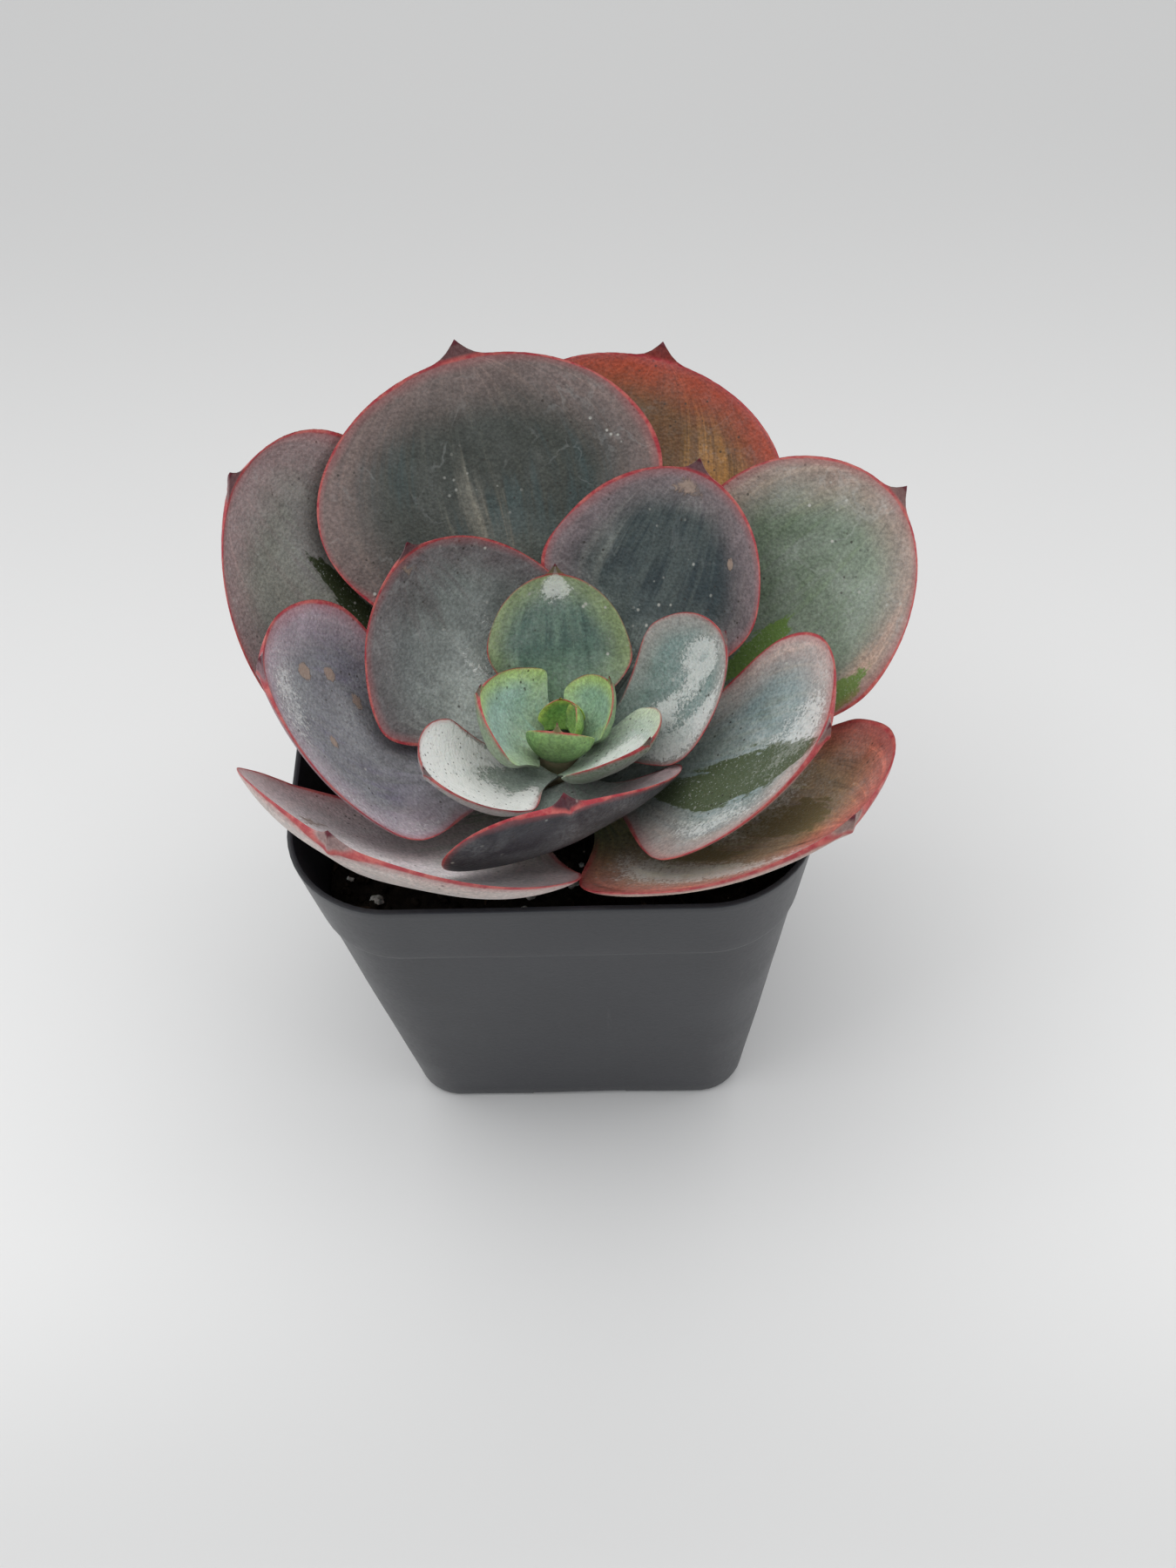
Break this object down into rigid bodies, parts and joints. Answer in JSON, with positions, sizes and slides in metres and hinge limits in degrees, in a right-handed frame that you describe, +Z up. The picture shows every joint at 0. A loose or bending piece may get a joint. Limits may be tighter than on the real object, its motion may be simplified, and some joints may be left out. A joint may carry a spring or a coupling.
{
  "type": "potted succulent",
  "caption": "Small square plastic nursery pot filled with potting mix, holding a wide-leaved rosette succulent with thin crimson leaf edges and sharp leaf points.",
  "frame": {"origin": "middle of the pot's flat underside, where the pot's own axis meets the surface it stands on", "axes": "+Z up along the pot's axis, -Y is the pot's front, the side that the short outer leaves lean over, +X to the right seen from the front"},
  "size_m": [0.0819, 0.0816, 0.0893],
  "materials": {
    "pot_plastic": "thin satin charcoal-grey plastic with light scuffs",
    "potting_mix": "dark moist peat and bark mix with white perlite",
    "stem": "green-brown short woody stem",
    "leaf_slate": "matt waxy bloom, slate grey-green with a thin crimson edge",
    "leaf_teal": "matt waxy bloom, blue-green with a thin crimson edge",
    "leaf_sage": "matt waxy bloom, grey-green with pink edge and bare wet-looking patches",
    "leaf_mauve": "matt waxy bloom, mauve-grey with crimson edge and beige scars",
    "leaf_olive": "matt waxy bloom, olive turning red-brown with a crimson edge",
    "leaf_red": "thin orange-red leaf, the light shines through it",
    "leaf_frost": "thick white farina over blue-green",
    "leaf_green": "young grey-green leaf with a pink edge",
    "leaf_lime": "young yellow-green leaf with a pink tip"
  },
  "bodies": {
    "root": {"pot": "pot_plastic", "soil": "potting_mix", "stem": "stem", "outer_leaf_front_right": "leaf_olive", "outer_leaf_back_right": "leaf_red", "outer_leaf_front_left": "leaf_mauve", "outer_leaf_left": "leaf_slate", "outer_leaf_right": "leaf_sage", "middle_leaf_back": "leaf_slate", "middle_leaf_left": "leaf_mauve", "middle_leaf_right": "leaf_sage", "inner_leaf_front": "leaf_slate", "inner_leaf_back_right": "leaf_teal", "inner_leaf_back_left": "leaf_teal", "heart_leaf_right": "leaf_frost", "heart_leaf_front_left": "leaf_frost", "heart_leaf_back": "leaf_teal", "bud_leaf_front_right": "leaf_green", "bud_leaf_left": "leaf_green", "bud_leaf_right": "leaf_green", "tip_leaf_back": "leaf_lime", "tip_leaf_front": "leaf_lime", "tip_leaf_right": "leaf_lime"}
  },
  "joints": []
}
